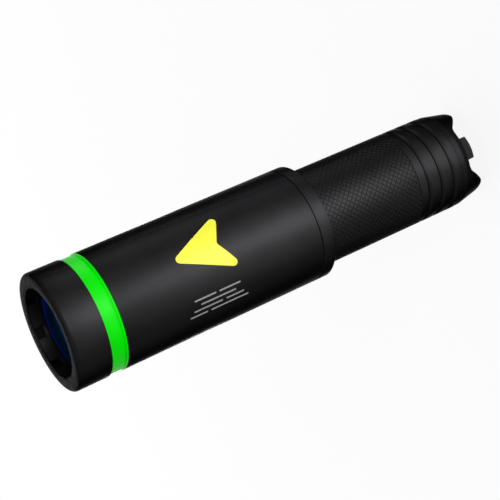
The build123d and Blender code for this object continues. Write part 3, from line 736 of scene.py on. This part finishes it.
class ILLUM_OT_tail(bpy.types.Operator):
    """Turn the tail cap with its three ring grooves, shape its crown, and finish the push button"""

    bl_idname = "illum.tail"
    bl_label = "Tail"

    # the cap, in millimetres: its lobes' tips are at height 0, and the slot between them runs along Y
    TIP_R, TAPER_R, TAPER_TOP, SHOULDER_TOP = 11.05, 12.6, 7.7, 9.3
    RECESS_R, SLOT_TOP = 8.8, 6.0
    FLOOR_OVER = 0.02                        # how far the slot's floor is carried past the recess's wall
    # the slot's half section: distance from its middle, height, rounding
    SLOT = ((0.0, 6.0, 0), (5.78, 6.0, 1.9), (9.65, 0.0, 2.0), (14.0, 0.0, 0))
    # the rounding between the slot and the lobes' sides: at the slot's floor, and how much more at the tips
    RIM_ROUND, RIM_MORE = 0.3, 1.5
    WINDOW_HALF, WINDOW_R = 3.2, 7.0         # the button's window
    END_WALL = 1.0                           # between the crown and the switch
    THREAD_R, SWITCH_R = 11.7, 10.2          # bores round the neck and round the switch
    NECK_GAP = 0.1                           # from the neck's end to the step between these bores
    STEP = 0.15                              # height of the shoulder's slope, and the front chamfer
    # a ring groove, below its sharp edge: depth, drop, rounding
    GROOVE = ((0.0, 0.0, 0.04), (0.55, 0.0, 0), (0.55, 0.6, 0.1), (0.28, 0.7, 0.05), (0.13, 1.05, 0),
              (0.0, 1.5, 0.3))
    GROOVE_FIRST, GROOVE_PITCH, GROOVES = 2.23, 4.05, 3
    # the crown's section is measured outwards from a point inside it, in directions given in degrees, which
    # lie close together at the lobes' tips
    PIVOT = Vector((9.6, 7.7))
    TURNS = ([-113 + 3.2 * k for k in range(5)] + [-96.5 + 1.6 * k for k in range(15)]
             + [-71 + 6 * k for k in range(12)])
    REACH, HALVINGS = 9.0, 18                # how far out the search starts, and how often it halves
    SECTIONS = 360                           # round the cap
    BUTTON_EDGE, BUTTON_STEPS = 0.18 * MM, 3     # the button's rounding, and the facets across it

    def execute(self, context):
        self.slot = soften(self.SLOT, 8)
        self.skirt = self.turned_part()
        make_piece("crowned_cap", around(self.column, self.SECTIONS), "tail_cap",
                   finished("hard_anodised_aluminium"))
        make_piece("push_button", edged_copy("button", self.BUTTON_EDGE, self.BUTTON_STEPS), "button",
                   finished("moulded_button_polymer"))
        return {"FINISHED"}

    def turned_part(self):
        """The outline from the top of the crown's taper, up the cap's grooved side and down its bore."""
        cap_r, top = node_radius("tail_cap") / MM, node_top("tail_cap") / MM
        step_z = node_bottom("battery_tube") / MM - self.NECK_GAP
        side = [(self.TAPER_R, self.TAPER_TOP, 0.6), (self.TAPER_R, self.SHOULDER_TOP, 0.05),
                (cap_r, self.SHOULDER_TOP + self.STEP, 0.05)]
        for i in reversed(range(self.GROOVES)):
            edge = top - self.GROOVE_FIRST - self.GROOVE_PITCH * i
            side += [(cap_r - depth, edge - drop, size) for depth, drop, size in reversed(self.GROOVE)]
        side += [(cap_r, top - self.STEP, 0.05), (cap_r - self.STEP, top, 0.05), (self.THREAD_R, top, 0.08),
                 (self.THREAD_R, step_z, 0), (self.SWITCH_R, step_z, 0),
                 (self.SWITCH_R, self.SLOT_TOP + self.END_WALL, 0)]
        return side

    def underside(self, across):
        """Height of the slot's section at a distance from its middle."""
        for low, high in zip(self.slot, self.slot[1:]):
            if across <= high.x:
                return low.y + (high.y - low.y) * (across - low.x) / (high.x - low.x)
        return self.slot[-1].y

    @staticmethod
    def smooth_max(a, b, width):
        """The larger of two numbers, blended over a width where they are close."""
        near = max(width - abs(a - b), 0) / width
        return max(a, b) + near * near * width / 4

    def beyond(self, r, z, lean):
        """Above 0 outside the crown, where lean is the share of the radius that lies across the slot."""
        floor = self.underside(r * lean)
        taper = self.TIP_R + (self.TAPER_R - self.TIP_R) * z / self.TAPER_TOP
        rounding = self.RIM_ROUND + self.RIM_MORE * (1 - floor / self.SLOT_TOP)
        rim = self.smooth_max(floor - z, r - taper, rounding)
        return self.smooth_max(rim, self.RECESS_R - r, self.RIM_ROUND)

    def column(self, angle):
        """The cap's whole outline at an angle from +X."""
        lean = abs(cos(angle))
        points = []
        for turn in self.TURNS:
            ahead = Vector((cos(radians(turn)), sin(radians(turn))))
            near, far = 0.0, self.REACH
            for _ in range(self.HALVINGS):
                middle = (near + far) / 2
                at = self.PIVOT + ahead * middle
                if self.beyond(at.x, at.y, lean) > 0:
                    far = middle
                else:
                    near = middle
            points.append((*(self.PIVOT + ahead * near), 0))
        window = min(self.WINDOW_R, self.WINDOW_HALF / max(lean, 0.01))
        end = [(window, self.SLOT_TOP + self.END_WALL, 0), (window, self.SLOT_TOP, 0.1),
               (self.RECESS_R + self.FLOOR_OVER, self.SLOT_TOP, 0)]
        return [p * MM for p in soften(points + self.skirt + end)]


class ILLUM_OT_marks(bpy.types.Operator):
    """Print the beam arrow and four rows of plain dashes on the barrel"""

    bl_idname = "illum.marks"
    bl_label = "Printed marks"

    CENTRE = radians(-11.3)      # where the arrow sits round the barrel, from the -Y side towards -X
    HEIGHT = 86.6 * MM           # of the middle of all the marks
    SKIN = 0.025 * MM            # thickness of the ink, half of it sunk in the barrel
    # the arrow's half outline in shares of its length: tip, wing's end, notch
    ARROW = ((0.0, 0.5), (0.46, -0.5), (0.0, -0.24))
    ARROW_ROUND = 1.0 * MM
    DASH, DASH_ROUND = 0.2 * MM, 0.17 * MM       # half a dash's width
    # each row of dashes: degrees round from the arrow, length in mm, how the dashes share it
    ROWS = ((41.2, 12.8, (7, 7)), (46.5, 9.8, (9,)), (51.6, 13.9, (5, 8)), (56.9, 16.2, (11, 5)))
    BEND = 0.5 * MM              # the skins are cut into strips this wide to follow the barrel

    def execute(self, context):
        radius = node_radius("head_barrel")
        length = context.scene.illuminator_sizes.arrow_length
        tip, wing, notch = self.ARROW
        corners = [(x * length, y * length) for x, y in (tip, wing, notch, (-wing[0], wing[1]))]
        arrow = self.skin([self.rounded(corners, self.ARROW_ROUND)], radius)
        make_piece("beam_arrow", arrow, "head_barrel", finished("yellow_print_ink"), replaces=False)
        dashes = []
        for angle, width, parts in self.ROWS:
            share = width * MM / (sum(parts) + len(parts) - 1)
            across = radius * radians(angle)
            low = -width * MM / 2
            for part in parts:
                high = low + share * part
                dashes.append(self.rounded([
                    (across - self.DASH, low), (across + self.DASH, low), (across + self.DASH, high),
                    (across - self.DASH, high)], self.DASH_ROUND))
                low = high + share
        make_piece("printed_dashes", self.skin(dashes, radius), "head_barrel", finished("pale_print_ink"),
                   replaces=False)
        return {"FINISHED"}

    @staticmethod
    def rounded(corners, radius):
        return soften([(x, y, radius) for x, y in corners], 5)

    def skin(self, shapes, radius):
        """Flat shapes wrapped round the barrel as thin skins. Across is the distance round it, towards -X,
        and up is along the axis."""
        made = bmesh.new()
        for shape in shapes:
            made.faces.new([made.verts.new((p.x, p.y, 0)) for p in shape])
        reach = max(abs(v.co.x) for v in made.verts)
        strips = int(reach / self.BEND)
        for i in range(-strips, strips + 1):
            every = made.verts[:] + made.edges[:] + made.faces[:]
            bmesh.ops.bisect_plane(made, geom=every, dist=1e-8, plane_co=(i * self.BEND, 0, 0),
                                   plane_no=(1, 0, 0))
        raised = bmesh.ops.extrude_face_region(made, geom=made.faces[:])["geom"]
        for vert in (g for g in raised if isinstance(g, bmesh.types.BMVert)):
            vert.co.z = self.SKIN
        for vert in made.verts:
            a = self.CENTRE + vert.co.x / radius
            r = radius - self.SKIN / 2 + vert.co.z
            vert.co = Vector((-r * sin(a), -r * cos(a), self.HEIGHT + vert.co.y))
        return made


class ILLUM_OT_stage(bpy.types.Operator):
    """Set up the pale floor, the soft boxes and the camera at the photograph's angle"""

    bl_idname = "illum.stage"
    bl_label = "Stage"

    def execute(self, context):
        scene = context.scene
        scene.view_settings.view_transform = "Standard"
        self.floor(scene)
        self.world(scene)
        self.lamps(scene)
        self.camera(scene)
        return {"FINISHED"}

    @staticmethod
    def seen_directly(tree):
        """1 for the camera's own rays and for those that metal or glass sends on."""
        path = add(tree, "ShaderNodeLightPath").outputs
        some = add(tree, "ShaderNodeMath", {0: path["Is Camera Ray"], 1: path["Is Glossy Ray"]},
                   operation="MAXIMUM")
        return add(tree, "ShaderNodeMath", {0: some.outputs[0], 1: path["Is Transmission Ray"]},
                   operation="MAXIMUM").outputs[0]

    FLOOR_HALF = 4.0
    # how much of the floor is plain white near the part, where its shadow falls, and further out
    WHITE_NEAR, WHITE_FAR = 0.88, 1.0
    FADE_FROM, FADE_TO = 0.05, 0.45          # distances in metres from the part between which it whitens
    PAPER_THROWN, PAPER_SEEN = "#d8d8d8", "#fcfcfc"      # in the light it throws back, and as it is seen

    def floor(self, scene):
        made = bmesh.new()
        bmesh.ops.create_grid(made, x_segments=8, y_segments=8, size=self.FLOOR_HALF)
        mesh = bpy.data.meshes.new("studio_floor")
        made.to_mesh(mesh)
        made.free()
        floor = bpy.data.objects.new("studio_floor", mesh)
        scene.collection.objects.link(floor)
        material = bpy.data.materials.new("white_paper_floor")
        material.use_nodes = True
        tree = material.node_tree
        tree.nodes.clear()
        direct = self.seen_directly(tree)
        tone = add(tree, "ShaderNodeMix", {
            0: direct, 6: linear(self.PAPER_THROWN), 7: linear(self.PAPER_SEEN)}, data_type="RGBA")
        paper = add(tree, "ShaderNodeBsdfDiffuse", {"Color": tone.outputs[2]})
        glow = add(tree, "ShaderNodeEmission", {"Color": (1, 1, 1, 1), "Strength": 1.0})
        place = add(tree, "ShaderNodeTexCoord").outputs["Object"]
        away = add(tree, "ShaderNodeVectorMath", {0: place}, operation="LENGTH").outputs["Value"]
        whiter = add(tree, "ShaderNodeMapRange", {0: away, 1: self.FADE_FROM, 2: self.FADE_TO,
                                                  3: self.WHITE_NEAR, 4: self.WHITE_FAR})
        share = add(tree, "ShaderNodeMath", {0: direct, 1: whiter.outputs[0]}, operation="MULTIPLY")
        mix = add(tree, "ShaderNodeMixShader", {0: share.outputs[0], 1: paper.outputs[0], 2: glow.outputs[0]})
        finish_material(tree, mix)
        mesh.materials.append(material)

    SKY_FILL = 0.08              # the sky's brightness for all but the camera and gloss

    def world(self, scene):
        world = bpy.data.worlds.new("studio_world")
        scene.world = world
        world.use_nodes = True
        tree = world.node_tree
        tree.nodes.clear()
        dim = add(tree, "ShaderNodeMapRange", {0: self.seen_directly(tree), 3: self.SKY_FILL, 4: 1.0})
        sky = add(tree, "ShaderNodeBackground", {"Color": (1, 1, 1, 1), "Strength": dim.outputs[0]})
        add(tree, "ShaderNodeOutputWorld", {"Surface": sky.outputs[0]})

    AIM = Vector((0, 0, 0.07))   # a little above the part's middle
    # soft boxes round the part that point at it: name, place in metres, width, height, brightness
    BOXES = (
        ("key_box", (0.06, -0.95, 0.34), 0.7, 0.6, 5.6),
        ("back_box", (0.03, 0.95, 0.5), 1.2, 0.8, 2.0),
        ("top_box", (0.0, 0.1, 1.1), 0.8, 0.8, 2.0),
    )
    # light cards on the floor that only show in gloss, as long highlights in the tube's upright sides: name,
    # direction from -Y towards +X and half of its spread in degrees, brightness
    CARDS = (
        ("front_card", 2.0, 12.0, 12.0),
        ("broad_card", -3.0, 40.0, 3.0),
        ("side_card", 90.0, 14.0, 4.0),
        ("rear_card", 181.0, 11.0, 9.0),
    )
    # each card is three strips, wider further out: from and to a distance in metres, share of brightness
    STRIPS = ((0.02, 0.07, 0.6), (0.07, 0.2, 1.0), (0.2, 0.7, 1.0))
    CARD_HEIGHT = 0.002

    def lamps(self, scene):
        for name, place, wide, tall, brightness in self.BOXES:
            away = Vector(place) - self.AIM
            self.lamp(scene, name, place, away.to_track_quat("Z", "Y").to_euler(), wide, tall, brightness)
        for name, direction, spread, brightness in self.CARDS:
            turn = radians(direction)
            for near, far, share in self.STRIPS:
                middle = (near + far) / 2
                place = (middle * sin(turn), -middle * cos(turn), self.CARD_HEIGHT)
                wide = 2 * middle * tan(radians(spread))
                card = self.lamp(scene, name, place, (pi, 0, turn), wide, far - near, brightness * share)
                card.visible_diffuse = False

    @staticmethod
    def lamp(scene, name, place, rotation, wide, tall, brightness):
        """An evenly bright panel that the camera doesn't see. Brightness 1 is that of the white floor."""
        data = bpy.data.lights.new(name, "AREA")
        data.shape = "RECTANGLE"
        data.size, data.size_y = wide, tall
        data.energy = brightness * pi * wide * tall
        panel = bpy.data.objects.new(name, data)
        panel.location = place
        panel.rotation_euler = rotation
        panel.visible_camera = False
        scene.collection.objects.link(panel)
        return panel

    # the camera: its place in mm, where it looks, what lies to its right, and its focal length over the width
    EYE = Vector((-10.299, -305.316, 208.854))
    LOOK = Vector((0.026922957, 0.908379418, -0.417279257))
    RIGHT = Vector((-0.41711832, -0.36914516, -0.83050837))
    FOCAL, SENSOR_W = 1346.9 / 500, 36.0

    def camera(self, scene):
        data = bpy.data.cameras.new("photo_camera")
        data.sensor_width = self.SENSOR_W
        data.lens = self.SENSOR_W * self.FOCAL
        data.clip_start, data.clip_end = 0.01, 20.0
        camera = bpy.data.objects.new("photo_camera", data)
        look = self.LOOK.normalized()
        right = (self.RIGHT - look * self.RIGHT.dot(look)).normalized()
        turn = Matrix((right, right.cross(look), -look)).transposed()
        camera.matrix_world = Matrix.Translation(self.EYE * MM) @ turn.to_4x4()
        scene.collection.objects.link(camera)
        scene.camera = camera


class ILLUM_PT_panel(bpy.types.Panel):
    """Lists the pieces in the order in which they are made"""

    bl_idname = "ILLUM_PT_panel"
    bl_label = "Illuminator"
    bl_space_type = "VIEW_3D"
    bl_region_type = "UI"
    bl_category = "Illuminator"

    def draw(self, context):
        layout = self.layout
        for group in (context.scene.illuminator_sizes, context.scene.illuminator_colours):
            box = layout.box()
            for name in group.__annotations__:
                box.prop(group, name)
        for operator in OPERATORS:
            layout.operator(operator.bl_idname)


OPERATORS = (ILLUM_OT_finishes, ILLUM_OT_head, ILLUM_OT_mouth, ILLUM_OT_grip, ILLUM_OT_tail, ILLUM_OT_marks,
             ILLUM_OT_stage)
CLASSES = (IlluminatorSizes, IlluminatorColours) + OPERATORS + (ILLUM_PT_panel,)


def register():
    for made in CLASSES:
        bpy.utils.register_class(made)
    bpy.types.Scene.illuminator_sizes = bpy.props.PointerProperty(type=IlluminatorSizes)
    bpy.types.Scene.illuminator_colours = bpy.props.PointerProperty(type=IlluminatorColours)


def unregister():
    del bpy.types.Scene.illuminator_sizes
    del bpy.types.Scene.illuminator_colours
    for made in reversed(CLASSES):
        bpy.utils.unregister_class(made)


def main():
    register()
    for operator in OPERATORS:
        group, name = operator.bl_idname.split(".")
        getattr(getattr(bpy.ops, group), name)()


if __name__ == "__main__":
    main()
